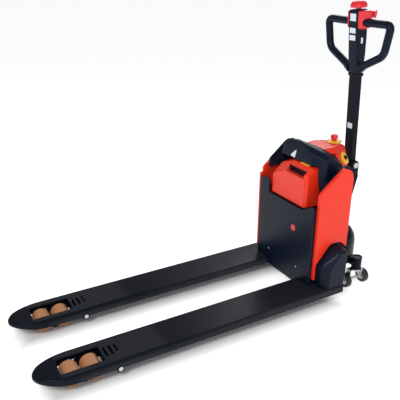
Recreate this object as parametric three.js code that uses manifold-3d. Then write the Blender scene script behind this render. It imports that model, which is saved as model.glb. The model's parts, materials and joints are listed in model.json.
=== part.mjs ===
// Electric pallet truck: two forks on a low tower, a steered drive wheel under a tiller, and a slide-in battery.
// Millimetres, +Z up. Origin on the floor under the middle of the truck; the fork tips point to -X.
import * as THREE from 'three';
import { mergeVertices } from 'three/addons/utils/BufferGeometryUtils.js';
import { ConvexGeometry } from 'three/addons/geometries/ConvexGeometry.js';
import Module from 'manifold-3d';

const wasm = await Module();
wasm.setup();

// ---------- driving dimensions ----------
const FORK_LENGTH = 1220;         // fork tip to tower face
const HEAD_LENGTH = 412;          // tower face to the back of the drive cover
const FACE_X = (FORK_LENGTH - HEAD_LENGTH) / 2;
const FORK_Y = 190;               // centre line of each fork
const FORK_HALF = 80;             // half the width of one fork
const FORK_TOP = 82;              // lowered height
const FORK_BOTTOM = 47;
const FORK_REAR = 146;            // the forks run this far behind the tower face
const HEEL_STEP = 0.5;            // and are this much lower there
const WALL = 5;                   // fork plate
const GAP = 0.3;                  // between pieces that touch

const ROLLER_R = 37;
const ROLLER_HALF = 35;
const ROLLER_PITCH = 80;
const BOGIE_X = -1045;            // from the tower face
const LEVER_X = -920;
const LEVER_Z = 50;

const STEER_X = 297;              // steering axis, from the tower face
const DRIVE_R = 105;
const DRIVE_HALF = 35;
const COVER_R = 115;

const CASTOR_X = 297;
const CASTOR_Y = 188;
const CASTOR_R = 34;
const CASTOR_TRAIL = 8;

const PIVOT_X = 369;              // tiller pin, from the tower face
const PIVOT_Z = 540;
const MAST_LEAN = THREE.MathUtils.degToRad(-2.65);
const HEAD_LEAN = THREE.MathUtils.degToRad(-1.95);
const MAST_LENGTH = 424;
const HEAD_HALF = 29;
const HEAD_HEIGHT = 268;

const PANEL_OUT = 210;            // outer face of the side panels
const PANEL_IN = 196;
const BATTERY_HALF = 119;
const BATTERY_FRONT = 14;
const BATTERY_BACK = 150;
const BATTERY_LOW = 424;
const BATTERY_TOP = 602;

// ---------- materials ----------
function finish(color, roughness, metalness = 0) {
  return new THREE.MeshStandardMaterial({ color, roughness, metalness });
}

const paint = {
  black: finish('#16181b', 0.45, 0.1),
  plastic: finish('#1d2128', 0.4),
  orange: finish('#f2421c', 0.38),
  red: finish('#e0203a', 0.35),
  yellow: finish('#f2c314', 0.45),
  zinc: finish('#b9bcc0', 0.35, 0.9),
  steel: finish('#8b8f94', 0.4, 0.9),
  rubber: finish('#202226', 0.8),
  tan: finish('#d9a35e', 0.5),
  alloy: finish('#9fa3a8', 0.5, 0.6),
};

// ---------- solids ----------
function solid(geometry) {
  geometry.deleteAttribute('normal');
  geometry.deleteAttribute('uv');
  const merged = mergeVertices(geometry, 1e-4);
  return new wasm.Manifold(new wasm.Mesh({
    numProp: 3,
    vertProperties: new Float32Array(merged.attributes.position.array),
    triVerts: new Uint32Array(merged.index.array),
  }));
}

function box([x0, x1], [y0, y1], [z0, z1]) {
  const geometry = new THREE.BoxGeometry(x1 - x0, y1 - y0, z1 - z0);
  geometry.translate((x0 + x1) / 2, (y0 + y1) / 2, (z0 + z1) / 2);
  return solid(geometry);
}

const toX = new THREE.Matrix4().set(0, 0, 1, 0, 1, 0, 0, 0, 0, 1, 0, 0, 0, 0, 0, 1);
const toY = new THREE.Matrix4().set(0, 1, 0, 0, 0, 0, 1, 0, 1, 0, 0, 0, 0, 0, 0, 1);
const turned = { x: toX, y: toY, z: new THREE.Matrix4() };

// An outline extruded along an axis. Its points are (y, z) along x, (z, x) along y and (x, y) along z.
function prism(axis, points, from, to) {
  const outline = new THREE.Shape(points.map(([a, b]) => new THREE.Vector2(a, b)));
  const geometry = new THREE.ExtrudeGeometry(outline, { depth: to - from, bevelEnabled: false });
  geometry.translate(0, 0, from);
  geometry.applyMatrix4(turned[axis]);
  return solid(geometry);
}

// A side view given as (x, z) points, extruded across the truck.
function sideView(points, y0, y1) {
  return prism('y', points.map(([x, z]) => [z, x]), Math.min(y0, y1), Math.max(y0, y1));
}

function rod(axis, radius, from, to, [a, b], sides = 24) {
  const geometry = new THREE.CylinderGeometry(radius, radius, to - from, sides);
  geometry.rotateX(Math.PI / 2);
  geometry.translate(0, 0, (from + to) / 2);
  geometry.applyMatrix4(turned[axis]);
  const place = { x: [0, a, b], y: [a, 0, b], z: [a, b, 0] }[axis];
  return solid(geometry).translate(place);
}

// A closed (radius, height) profile turned about the vertical axis.
function turning(profile, sides = 40) {
  const points = [...profile, profile[0]].map(([r, z]) => new THREE.Vector2(r, z));
  const geometry = new THREE.LatheGeometry(points, sides);
  geometry.rotateX(Math.PI / 2);
  const body = solid(geometry);
  return body.volume() > 0 ? body : solid(new THREE.LatheGeometry(points.reverse(), sides).rotateX(Math.PI / 2));
}

function hull(points) {
  return solid(new ConvexGeometry(points.map((p) => new THREE.Vector3(...p))));
}

function join(...pieces) {
  return pieces.reduce((sum, piece) => sum.add(piece));
}

function cut(body, ...tools) {
  return tools.reduce((rest, tool) => rest.subtract(tool), body);
}

const bothSides = (points) => points.flatMap(([x, y, z]) => [[x, y, z], [x, -y, z]]);

function node(parent, name, body, material) {
  const { vertProperties, triVerts, numProp } = body.getMesh();
  const geometry = new THREE.BufferGeometry();
  const positions = new Float32Array((vertProperties.length / numProp) * 3);
  for (let i = 0; i < positions.length / 3; i += 1) {
    positions.set(vertProperties.subarray(i * numProp, i * numProp + 3), i * 3);
  }
  geometry.setAttribute('position', new THREE.BufferAttribute(positions, 3));
  geometry.setIndex(new THREE.BufferAttribute(new Uint32Array(triVerts), 1));
  geometry.computeVertexNormals();
  const mesh = new THREE.Mesh(geometry, material);
  mesh.name = name;
  parent.add(mesh);
}

const SIDES = [['left', 1], ['right', -1]];

// Everything is placed from the tower's front face.
const truck = new THREE.Group();
const frame = new THREE.Group();
frame.position.x = FACE_X;
truck.add(frame);

// ---------- forks ----------
function forkSection(half, low, high, shoulder) {
  return [[-half, low], [half, low], [half, high - shoulder], [half - shoulder, high],
    [shoulder - half, high], [-half, high - shoulder]];
}

function forkPlan() {
  const noseLength = 150;
  const noseStart = noseLength - FORK_LENGTH;
  const points = [[FORK_REAR, -FORK_HALF], [FORK_REAR, FORK_HALF]];
  for (let i = 0; i <= 12; i += 1) {
    const a = (Math.PI * i) / 12;
    points.push([noseStart - noseLength * Math.sin(a), FORK_HALF * Math.cos(a)]);
  }
  return points;
}

function fork(y) {
  const nose = -FORK_LENGTH;
  const profile = [[nose, 64], [nose + 108, FORK_BOTTOM], [FORK_REAR, FORK_BOTTOM], [FORK_REAR, FORK_TOP],
    [nose + 28, FORK_TOP], [nose + 6, 77], [nose, 71]];
  let body = prism('x', forkSection(FORK_HALF, FORK_BOTTOM, FORK_TOP, 10), nose, FORK_REAR)
    .intersect(prism('z', forkPlan(), 0, 100))
    .intersect(sideView(profile, -FORK_HALF, FORK_HALF));
  const lobe = rod('y', 17, -FORK_HALF, FORK_HALF, [LEVER_X, LEVER_Z], 20);
  body = join(body, lobe);
  const inside = FORK_HALF - WALL;
  const under = FORK_TOP - 6;
  body = cut(
    body,
    prism('x', forkSection(inside, 0, under, 7), nose + 150, FORK_REAR + 1),
    prism('x', forkSection(inside - 7, 0, under, 7), nose + 90, nose + 151),
    box([nose + 92, -962], [-46, 46], [60, 90]),
    rod('y', 8.6, -90, 90, [LEVER_X, LEVER_Z], 20),
    box([1, FORK_REAR + 1], [-FORK_HALF - 1, FORK_HALF + 1], [FORK_TOP - HEEL_STEP, FORK_TOP + 1]),
  );
  for (const slot of [-948, -926, -904]) {
    body = cut(body, box([slot - 5, slot + 5], [-30, 30], [60, 90]));
  }
  const innerFlange = y > 0 ? [-FORK_HALF - 1, 13 - FORK_HALF] : [FORK_HALF - 13, FORK_HALF + 1];
  body = cut(body, box([60, FORK_REAR + 1], innerFlange, [0, 76]));
  return body.translate([0, y, 0]);
}

for (const [side, s] of SIDES) {
  node(frame, `fork_${side}`, fork(s * FORK_Y), paint.black);
}

// ---------- load wheels: a lever and a two-roller bogie in each fork ----------
function lever(y) {
  const cheek = (y0, y1) => join(
    box([BOGIE_X, LEVER_X + 12], [y0, y1], [30, 58]),
    rod('y', 14, y0, y1, [BOGIE_X, ROLLER_R], 20),
  );
  const body = join(
    cheek(48, 56),
    cheek(-56, -48),
    box([-962, LEVER_X + 12], [-56, 56], [40, 58]),
    box([LEVER_X - 8, LEVER_X + 8], [-10, 10], [24, 50]),
    rod('y', 8, -83, 83, [LEVER_X, LEVER_Z], 20),
    rod('y', 12, 80.3, 83.3, [LEVER_X, LEVER_Z], 6),
    rod('y', 12, -83.3, -80.3, [LEVER_X, LEVER_Z], 6),
  );
  return cut(body, rod('y', 7.4, -60, 60, [BOGIE_X, ROLLER_R], 20)).translate([0, y, 0]);
}

function bogie(y) {
  const ends = [BOGIE_X - ROLLER_PITCH / 2, BOGIE_X + ROLLER_PITCH / 2];
  const pieces = [];
  for (const s of [1, -1]) {
    const y0 = s > 0 ? 38 : -44;
    pieces.push(box([ends[0] - 11, ends[1] + 11], [y0, y0 + 6], [24, 50]));
    pieces.push(rod('y', 7, s > 0 ? 43 : -57, s > 0 ? 57 : -43, [BOGIE_X, ROLLER_R], 20));
  }
  for (const x of ends) {
    pieces.push(rod('y', 8, -44, 44, [x, ROLLER_R], 20));
  }
  return join(...pieces).translate([0, y, 0]);
}

function roller(x, y) {
  const body = cut(
    rod('y', ROLLER_R, -ROLLER_HALF, ROLLER_HALF, [x, ROLLER_R], 32),
    rod('y', 8.4, -ROLLER_HALF - 1, ROLLER_HALF + 1, [x, ROLLER_R], 20),
  );
  return body.translate([0, y, 0]);
}

const ROD_BACK = 52;
for (const [side, s] of SIDES) {
  const y = s * FORK_Y;
  node(frame, `load_lever_${side}`, lever(y), paint.black);
  node(frame, `bogie_${side}`, bogie(y), paint.steel);
  node(frame, `front_roller_${side}`, roller(BOGIE_X - ROLLER_PITCH / 2, y), paint.tan);
  node(frame, `rear_roller_${side}`, roller(BOGIE_X + ROLLER_PITCH / 2, y), paint.tan);
  const pullRod = join(
    box([LEVER_X + 26, ROD_BACK], [y - 8, y + 8], [52, 64]),
    box([LEVER_X + 26, LEVER_X + 42], [y - 8, y + 8], [30, 64]),
  );
  node(frame, `pull_rod_${side}`, pullRod, paint.steel);
}

// Torque shaft across the tower, with one crank beside each pull rod.
const SHAFT_X = 86;
const SHAFT_Z = 60;
function torqueShaft() {
  const cranks = SIDES.map(([, s]) => {
    const y = s * 208;
    return join(
      box([SHAFT_X - 10, SHAFT_X + 10], [y - 6, y + 6], [40, SHAFT_Z]),
      rod('y', 10, y - 6, y + 6, [SHAFT_X, 40], 20),
    );
  });
  return join(rod('y', 12, -216, 216, [SHAFT_X, SHAFT_Z], 24), ...cranks);
}
node(frame, 'torque_shaft', torqueShaft(), paint.steel);

// ---------- tower frame ----------
const SIDE_PLATE = 150;
const heelY = FORK_Y - FORK_HALF - GAP;
node(frame, 'heel_beam', box([8, 56], [-heelY, heelY], [54, 112]), paint.black);

function towerFrame() {
  const height = 400;
  const plates = SIDES.map(([, s]) => {
    const y0 = s > 0 ? SIDE_PLATE : -SIDE_PLATE - 6;
    return box([12, 190], [y0, y0 + 6], [FORK_TOP + GAP, height]);
  });
  return join(
    ...plates,
    box([12, 190], [-SIDE_PLATE - 6, SIDE_PLATE + 6], [height - 6, height]),
    box([12, 18], [-SIDE_PLATE, SIDE_PLATE], [114, 134]),
    box([184, 190], [-SIDE_PLATE, -68], [84, height]),
    box([184, 190], [68, SIDE_PLATE], [84, height]),
    box([184, 190], [-70, 70], [266, height]),
  );
}
node(frame, 'tower_frame', towerFrame(), paint.black);

function facePlate() {
  const half = PANEL_IN - 2;
  const notch = BATTERY_HALF + 5;
  const shelf = BATTERY_LOW - 4;
  const outline = [[-half, 84], [-heelY, 84], [-heelY, 54], [heelY, 54], [heelY, 84], [half, 84],
    [half, 478], [half - 8, 486], [notch, 486], [notch, shelf], [-notch, shelf], [-notch, 427], [-half, 466]];
  return prism('x', outline, 2, 7);
}
node(frame, 'face_plate', facePlate(), paint.plastic);

const panelOutline = [[17, 113], [27, 113], [27, 186], [100, 271], [150, 273], [182, 253], [196, 234], [197, 565],
  [194, 585], [184, 602], [168, 612], [140, 615], [128, 608], [26, 524], [20, 512]];
const coverInner = [[33, FORK_TOP + GAP], [33, 182], [104, 263], [146, 263], [160, 250], [160, 150],
  [149, FORK_TOP + GAP]];
const coverOuter = [[60, FORK_TOP + GAP], [60, 172], [112, 252], [144, 252], [153, 244], [153, 150],
  [145, FORK_TOP + GAP]];

function wheelCover(s) {
  const skin = (inset) => hull([
    ...coverInner.map(([x, z]) => [x, s * 192, z]),
    ...coverInner.map(([x, z]) => [x, s * 232, z]),
    ...coverOuter.map(([x, z]) => [x, s * 268, z]),
  ]).translate([-95, -s * 222, -FORK_TOP]).scale([inset, inset, inset]).translate([95, s * 222, FORK_TOP]);
  const inside = skin(0.92);
  const open = s > 0 ? [150, 196] : [-196, -150];
  return cut(skin(1), inside, inside.translate([0, 0, -6]), box([40, 148], open, [FORK_TOP, 180]));
}

for (const [side, s] of SIDES) {
  node(frame, `side_panel_${side}`, sideView(panelOutline, s * PANEL_IN, s * PANEL_OUT), paint.orange);
  node(frame, `wheel_cover_${side}`, wheelCover(s), paint.plastic);
}

// ---------- lift: ram on the drive bridge, rod under the tower's top plate ----------
const RAM_X = 135;
const barrel = cut(rod('z', 27, 132.3, 372, [RAM_X, 0], 28), rod('z', 17, 150, 380, [RAM_X, 0], 24));
node(frame, 'lift_barrel', barrel, paint.black);
node(frame, 'lift_rod', rod('z', 16, 156, 393.7, [RAM_X, 0], 24), paint.steel);

function hydraulicUnit() {
  return join(
    rod('y', 38, -95, 10, [56, 178], 24),
    box([20, 92], [4, 96], [140, 230]),
    box([30, 80], [-10, 40], [205, 238]),
  );
}
node(frame, 'hydraulic_unit', hydraulicUnit(), paint.alloy);

function controller() {
  const fins = [-78, -52, -26, 0, 26, 52, 78].map((y) => box([20, 32], [y - 4, y + 4], [262, 388]));
  return join(box([32, 84], [-90, 90], [262, 388]), ...fins);
}
node(frame, 'controller', controller(), paint.alloy);

// ---------- battery and its bay ----------
function batteryTray() {
  const half = BATTERY_HALF + 4.5;
  return join(
    box([12, 160], [-half, half], [410, 419]),
    box([154, 160], [-half, half], [410, 596]),
  );
}
node(frame, 'battery_tray', batteryTray(), paint.plastic);

function battery() {
  const front = BATTERY_FRONT;
  const half = BATTERY_HALF;
  const shell = hull([
    [front, half - 2, BATTERY_LOW + 3], [front, 12 - half, BATTERY_LOW + 3], [front + 12, -half, BATTERY_LOW + 3],
    [front + 3, half, BATTERY_LOW], [front + 3, 12 - half, BATTERY_LOW],
    [BATTERY_BACK, half, BATTERY_LOW], [BATTERY_BACK, -half, BATTERY_LOW],
    [front, half - 2, 514], [front, 30, 556], [front, 12 - half, 572],
    [front + 3, half, 513], [front + 12, -half, 572],
    [54, half, 550], [54, half - 20, 570], [BATTERY_BACK, half, 566], [BATTERY_BACK, 60, BATTERY_TOP],
    [54, 14, BATTERY_TOP], [54, -half + 20, BATTERY_TOP], [54, -half, BATTERY_TOP - 12],
    [BATTERY_BACK, -half + 20, BATTERY_TOP], [BATTERY_BACK, -half, BATTERY_TOP - 12],
  ]);
  const grip = box([front - 1, 62], [-100, 24], [556, 584]);
  const gripMouth = hull([
    [front - 1, -100, 556], [front - 1, 24, 556], [front - 1, -100, 604], [front - 1, 24, 604],
    [44, -100, 604], [44, 24, 604], [30, -100, 556], [30, 24, 556],
  ]);
  return cut(shell, grip, gripMouth);
}
node(frame, 'battery', battery(), paint.orange);
node(frame, 'battery_latch', hull([
  [50, -82, 602.4], [50, -26, 602.4], [92, -82, 602.4], [92, -26, 602.4],
  [54, -78, 607], [54, -30, 607], [92, -78, 609], [92, -30, 609],
]), paint.yellow);

// ---------- hood and rear cover ----------
const hoodPoints = bothSides([
  [50, 104, 614], [57, 98, 660], [66, 66, 687], [64, 0, 694], [98, 150, 500], [94, 124, 440],
  [98, 150, 636], [110, 128, 657], [120, 80, 674], [190, 150, 440], [190, 150, 600], [190, 104, 628],
  [190, 0, 636],
]);

function hood() {
  const bay = box([0, 163], [-BATTERY_HALF - 5, BATTERY_HALF + 5], [400, 610]);
  const hollow = hull(bothSides([[80, 90, 600], [80, 60, 668], [182, 130, 430], [182, 130, 590], [182, 60, 622],
    [110, 130, 620], [164, 130, 430]]));
  const lipIn = PANEL_IN - 12;
  const lipOut = PANEL_IN - GAP;
  const lips = SIDES.map(([, s]) => join(
    sideView([[44, 520], [47, 552], [140, 621], [188, 621], [188, 560], [108, 520]], s * lipIn, s * lipOut),
    sideView([[100, 518], [100, 542], [188, 570], [188, 552], [108, 518]], s * 148, s * (lipIn + 1)),
  ));
  return cut(join(hull(hoodPoints), ...lips), bay, hollow);
}
node(frame, 'hood', hood(), paint.plastic);

const KEY_AT = [246, -92, 612];
const KEY_AIM = new THREE.Vector3(0.42, -0.72, 0.55).normalize();

function keyDisc(radius, from, to) {
  const spin = new THREE.Quaternion().setFromUnitVectors(new THREE.Vector3(0, 0, 1), KEY_AIM);
  const geometry = new THREE.CylinderGeometry(radius, radius, to - from, 28);
  geometry.rotateX(Math.PI / 2).translate(0, 0, (from + to) / 2).applyQuaternion(spin).translate(...KEY_AT);
  return solid(geometry);
}

function rearCover() {
  const dome = hull(bothSides([
    [120, 0, 659], [132, 52, 658], [196, 64, 661], [246, 46, 660], [262, 0, 659],
    [130, 84, 642], [206, 102, 632], [262, 92, 600], [267, 62, 634],
    [192, 100, 573], [266, 96, 573], [290, 34, 650], [302, 30, 636], [304, 0, 644], [302, 34, 575],
  ]));
  const hoodSkin = hull(hoodPoints).translate([0, 0, 0.6]);
  const hollow = hull(bothSides([[196, 90, 560], [256, 84, 560], [200, 60, 644], [250, 50, 636], [290, 26, 560],
    [288, 20, 620]]));
  const behind = box([100, 190.4], [-200, 200], [500, 640]);
  return cut(dome, hoodSkin, behind, hollow, keyDisc(29, -6.3, 60), rod('z', 11, 600, 700, [260, 0], 24));
}
node(frame, 'rear_cover', rearCover(), paint.orange);
node(frame, 'key_plate', cut(keyDisc(28.5, -6, 4), keyDisc(9.4, -2, 20)), paint.yellow);
node(frame, 'key_barrel', keyDisc(9, -1.7, 9), paint.black);

const STOP_X = 260;
const STOP_Z = 661.4;
const stopBase = turning([[11, 0], [36, 0], [36, 1.6], [26, 5.6], [11, 5.6]], 36).translate([STOP_X, 0, STOP_Z]);
node(frame, 'e_stop_base', stopBase, paint.yellow);
const stopButton = join(
  rod('z', 9, STOP_Z - 9, STOP_Z + 16, [STOP_X, 0], 24),
  turning([[0, 12], [14, 12], [17, 16], [17, 26], [13, 31], [0, 32]], 32).translate([STOP_X, 0, STOP_Z]),
);
node(frame, 'e_stop_button', stopButton, paint.red);

// ---------- drive bridge: carries the steering bearing, the castors and the ram ----------
function driveBridge() {
  const top = 255;
  const beam = [194, 212];
  const legs = SIDES.map(([, s]) => {
    const span = (a, b) => (s > 0 ? [a, b] : [-b, -a]);
    const socket = cut(
      rod('z', 21, 88, 146, [CASTOR_X, s * CASTOR_Y], 28),
      rod('z', 9, 80, 130, [CASTOR_X, s * CASTOR_Y], 20),
    );
    return join(
      box(beam, span(128, 152), [100, top]),
      box([beam[0], CASTOR_X + 16], span(140, 152), [100, 136]),
      box([CASTOR_X - 16, CASTOR_X + 16], span(148, 172), [100, 136]),
      socket,
    );
  });
  const body = join(
    box(beam, [-152, 152], [top - 15, top]),
    box([166, STEER_X], [-60, 60], [top - 12, top]),
    rod('z', 72, top - 12, top, [STEER_X, 0], 36),
    box([166, 178], [-50, 50], [120, top]),
    box([104, 178], [-50, 50], [120, 132]),
    ...legs,
  );
  return cut(body, rod('z', 44, 200, 300, [STEER_X, 0], 32));
}
node(frame, 'drive_bridge', driveBridge(), paint.black);
node(frame, 'steering_bearing', turning([[42, 255.3], [66, 255.3], [66, 268], [42, 268]], 36)
  .translate([STEER_X, 0, 0]), paint.steel);

// ---------- stabiliser castors: a yoke with a wheel on each side ----------
function castorYoke(s) {
  const y = s * (CASTOR_Y - CASTOR_TRAIL);
  const leg = (x0) => join(
    box([CASTOR_X + x0, CASTOR_X + x0 + 4], [y - 14, y + 14], [CASTOR_R, 82]),
    rod('x', 14, CASTOR_X + x0, CASTOR_X + x0 + 4, [y, CASTOR_R], 20),
  );
  return join(
    box([CASTOR_X - 38, CASTOR_X + 38], [y - 14, y + 22 * (s > 0 ? 1 : 0.64)], [80, 86]),
    rod('z', 20, 80, 87.4, [CASTOR_X, s * CASTOR_Y], 24),
    rod('z', 8.6, 80, 128, [CASTOR_X, s * CASTOR_Y], 20),
    leg(-38),
    leg(34),
    rod('x', 7, CASTOR_X - 68, CASTOR_X + 68, [y, CASTOR_R], 20),
  );
}

function castorWheel(s, x0, x1) {
  const y = s * (CASTOR_Y - CASTOR_TRAIL);
  return cut(
    rod('x', CASTOR_R, CASTOR_X + x0, CASTOR_X + x1, [y, CASTOR_R], 28),
    rod('x', 7.4, CASTOR_X + x0 - 1, CASTOR_X + x1 + 1, [y, CASTOR_R], 20),
  );
}

for (const [side, s] of SIDES) {
  node(frame, `castor_yoke_${side}`, castorYoke(s), paint.zinc);
  node(frame, `castor_front_wheel_${side}`, castorWheel(s, -66, -39), paint.rubber);
  node(frame, `castor_rear_wheel_${side}`, castorWheel(s, 39, 66), paint.rubber);
}

// ---------- steered drive unit ----------
const steer = new THREE.Group();
steer.position.x = STEER_X;
frame.add(steer);

function wheelCarrier() {
  return join(
    box([-35, 35], [38, 44], [88, 216]),
    box([-35, 35], [-44, -38], [88, 216]),
    rod('z', 84, 213, 220, [0, 0], 36),
    rod('z', 38, 219, 300, [0, 0], 32),
    rod('y', 12, -44, 44, [0, DRIVE_R], 24),
  );
}
node(steer, 'wheel_carrier', wheelCarrier(), paint.black);
node(steer, 'drive_cover', turning([[COVER_R, 86], [COVER_R, 172], [109, 200], [92, 226], [39, 236],
  [39, 232], [90, 222], [105, 199], [COVER_R - 3, 172], [COVER_R - 3, 86]], 40), paint.black);
node(steer, 'gearbox', rod('y', 48, 44.3, 97, [0, DRIVE_R], 32), paint.alloy);
node(steer, 'drive_motor', join(
  rod('y', 48, -90, -44.3, [0, DRIVE_R], 32),
  rod('y', 30, -98, -89, [0, DRIVE_R], 24),
), paint.steel);
node(steer, 'drive_hub', cut(
  rod('y', 70, -33, 33, [0, DRIVE_R], 36),
  rod('y', 12.4, -40, 40, [0, DRIVE_R], 24),
), paint.alloy);
node(steer, 'drive_tyre', cut(
  rod('y', DRIVE_R, -DRIVE_HALF, DRIVE_HALF, [0, DRIVE_R], 44),
  rod('y', 70.4, -40, 40, [0, DRIVE_R], 36),
), paint.rubber);

const PIVOT_ARM = PIVOT_X - STEER_X;
function tillerBase() {
  const ears = [1, -1].map((s) => {
    const [y0, y1] = s > 0 ? [28, 40] : [-40, -28];
    return join(
      box([PIVOT_ARM - 22, PIVOT_ARM + 22], [y0, y1], [470, PIVOT_Z]),
      rod('y', 22, y0, y1, [PIVOT_ARM, PIVOT_Z], 28),
    );
  });
  const post = hull([
    ...[-44, 44].flatMap((x) => [[x, 44, 300.3], [x, -44, 300.3], [x, 44, 316], [x, -44, 316]]),
    ...[PIVOT_ARM - 26, PIVOT_ARM + 26].flatMap((x) => [[x, 40, 486], [x, -40, 486]]),
  ]);
  return cut(join(post, ...ears), rod('y', 10.4, -60, 60, [PIVOT_ARM, PIVOT_Z], 24));
}
node(steer, 'tiller_base', tillerBase(), paint.black);

// ---------- tiller ----------
const tiller = new THREE.Group();
tiller.position.set(PIVOT_ARM, 0, PIVOT_Z);
tiller.rotation.y = MAST_LEAN;
steer.add(tiller);

function mast() {
  const tube = join(
    box([-14, 14], [-25, 25], [0, MAST_LENGTH - 12]),
    rod('y', 22, -25, 25, [0, 0], 28),
    box([-19, 19], [-29, 29], [MAST_LENGTH - 14, MAST_LENGTH]),
  );
  return cut(tube, box([-11, 11], [-22, 22], [34, MAST_LENGTH + 1]), rod('y', 10.4, -30, 30, [0, 0], 24));
}
node(tiller, 'mast', mast(), paint.black);
node(tiller, 'tiller_pin', join(
  rod('y', 10, -46, 46, [0, 0], 24),
  rod('y', 15, 40.4, 46, [0, 0], 6),
  rod('y', 15, -46, -40.4, [0, 0], 6),
), paint.zinc);

const head = new THREE.Group();
head.position.z = MAST_LENGTH;
head.rotation.y = HEAD_LEAN;
tiller.add(head);

const THROTTLE_X = 37;
const THROTTLE_Z = 246;
const BAR_Z = 216;
const LOOP_R = 16.5;
function headColumn() {
  const h = HEAD_HALF;
  const ring = (x0, x1, half, z) => bothSides([[x0, half - 6, z], [x0 + 6, half, z], [x1 - 6, half, z],
    [x1, half - 6, z]]);
  const body = hull([
    ...ring(-22, 20, 27, 2.4),
    ...ring(-26, 27, h, 78),
    ...ring(-h, 31, h, 160),
    ...ring(-h, h, h, HEAD_HEIGHT - 6),
    ...ring(4 - h, h - 4, h - 4, HEAD_HEIGHT),
  ]);
  const lugs = SIDES.map(([, s]) => box(
    [h - 6, THROTTLE_X + 10],
    s > 0 ? [10, 18] : [-18, -10],
    [THROTTLE_Z - 11, THROTTLE_Z + 11],
  ));
  return cut(
    join(body, ...lugs),
    rod('y', 6.6, -40, 40, [THROTTLE_X, THROTTLE_Z], 24),
    rod('z', 11, 258, 280, [0, 0], 24),
    box([h - 8, h + 6], [3, 20], [190, 210]),
    box([h - 8, h + 6], [-20, -3], [190, 210]),
    rod('x', 9.6, h - 8, h + 6, [0, 160], 24),
  );
}
node(head, 'head_column', headColumn(), paint.plastic);

// Straight runs joined by round bends.
function bentPath(points, radius) {
  const corner = points.map((p) => new THREE.Vector3(...p));
  const path = new THREE.CurvePath();
  let start = corner[0];
  for (let i = 1; i < corner.length - 1; i += 1) {
    const before = corner[i].clone().sub(corner[i - 1]).setLength(radius);
    const after = corner[i + 1].clone().sub(corner[i]).setLength(radius);
    const into = corner[i].clone().sub(before);
    const outOf = corner[i].clone().add(after);
    path.add(new THREE.LineCurve3(start, into));
    path.add(new THREE.QuadraticBezierCurve3(into, corner[i], outOf));
    start = outOf;
  }
  path.add(new THREE.LineCurve3(start, corner.at(-1)));
  return path;
}

function handleLoop(s) {
  const sides = 8;
  const ring = Array.from({ length: sides }, (_, i) => {
    const a = (2 * Math.PI * i) / sides;
    return new THREE.Vector2(LOOP_R * Math.cos(a), LOOP_R * Math.sin(a));
  });
  const path = bentPath([[-12, s * 10, 15], [-7, s * 162, 93], [2, s * 185, BAR_Z + 1], [2, s * 100, BAR_Z],
    [2, s * 12, BAR_Z]], 28);
  const tube = solid(new THREE.ExtrudeGeometry(new THREE.Shape(ring), { steps: 34, extrudePath: path }));
  return cut(tube, box([-40, 40], [-HEAD_HALF - GAP, HEAD_HALF + GAP], [-20, 250]));
}

function headCover(s) {
  const near = s * (HEAD_HALF + GAP);
  const rim = (z, inset) => [[inset - 29, near, z], [inset - 29, s * 33, z], [25 - inset, near, z],
    [25 - inset, s * (56 - inset), z], [8, s * (56 - inset), z]];
  return cut(
    hull([...rim(190, 8), ...rim(198, 0), ...rim(258, 0), ...rim(264, 6)]),
    rod('y', LOOP_R + 0.8, -60, 60, [2, BAR_Z], 20),
  );
}

for (const [side, s] of SIDES) {
  node(head, `handle_${side}`, handleLoop(s), paint.plastic);
  node(head, `head_cover_${side}`, headCover(s), paint.red);
}

function throttle() {
  const x = THROTTLE_X;
  const wing = (s) => hull([
    ...[s * 33, s * 62].flatMap((y) => [[x - 6, y, 236], [x + 6, y, 228], [x + 12, y, 262], [x - 6, y, 258]]),
  ]);
  return join(rod('y', 6, -58, 58, [x, THROTTLE_Z], 20), wing(1), wing(-1));
}
node(head, 'throttle', throttle(), paint.red);

function bellyButton() {
  const rim = (half, z) => bothSides([[-half, half - 7, z], [7 - half, half, z], [half - 7, half, z],
    [half, half - 7, z]]);
  const dome = hull([...rim(28, 275), ...rim(28, 284), ...rim(21, 297), ...rim(11, 303)]);
  return join(dome, rod('z', 10, 265, 277, [0, 0], 24));
}
node(head, 'belly_button', bellyButton(), paint.red);
node(head, 'lift_button', box([HEAD_HALF - 4, HEAD_HALF + 5], [3.5, 19.5], [190.5, 209.5]), paint.black);
node(head, 'lower_button', box([HEAD_HALF - 4, HEAD_HALF + 5], [-19.5, -3.5], [190.5, 209.5]), paint.black);
node(head, 'horn_button', rod('x', 9, HEAD_HALF - 4, HEAD_HALF + 6, [0, 160], 24), paint.yellow);

export default truck;
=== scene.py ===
"""Looks for the electric pallet truck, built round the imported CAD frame."""
import json
import math

import bmesh
import bpy
from mathutils import Matrix, Vector


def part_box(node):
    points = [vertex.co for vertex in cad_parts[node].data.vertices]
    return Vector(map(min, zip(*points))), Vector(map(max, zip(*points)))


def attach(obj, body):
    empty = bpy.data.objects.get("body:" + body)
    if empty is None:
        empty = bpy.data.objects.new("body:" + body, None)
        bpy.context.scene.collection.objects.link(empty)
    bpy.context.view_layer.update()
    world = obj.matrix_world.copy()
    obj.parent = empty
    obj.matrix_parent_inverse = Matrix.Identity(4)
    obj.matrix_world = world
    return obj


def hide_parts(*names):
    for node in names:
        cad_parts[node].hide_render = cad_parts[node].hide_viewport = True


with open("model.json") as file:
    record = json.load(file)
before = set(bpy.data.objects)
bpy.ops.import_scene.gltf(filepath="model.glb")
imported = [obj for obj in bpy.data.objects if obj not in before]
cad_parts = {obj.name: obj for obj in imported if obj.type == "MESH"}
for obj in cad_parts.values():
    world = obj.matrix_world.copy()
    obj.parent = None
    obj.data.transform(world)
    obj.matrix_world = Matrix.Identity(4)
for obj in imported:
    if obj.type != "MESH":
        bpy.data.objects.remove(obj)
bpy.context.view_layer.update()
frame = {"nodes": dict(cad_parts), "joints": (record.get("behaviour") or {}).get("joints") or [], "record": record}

MM = 0.001
SIDES = (("left", 1), ("right", -1))
RECORD = frame["record"]
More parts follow.
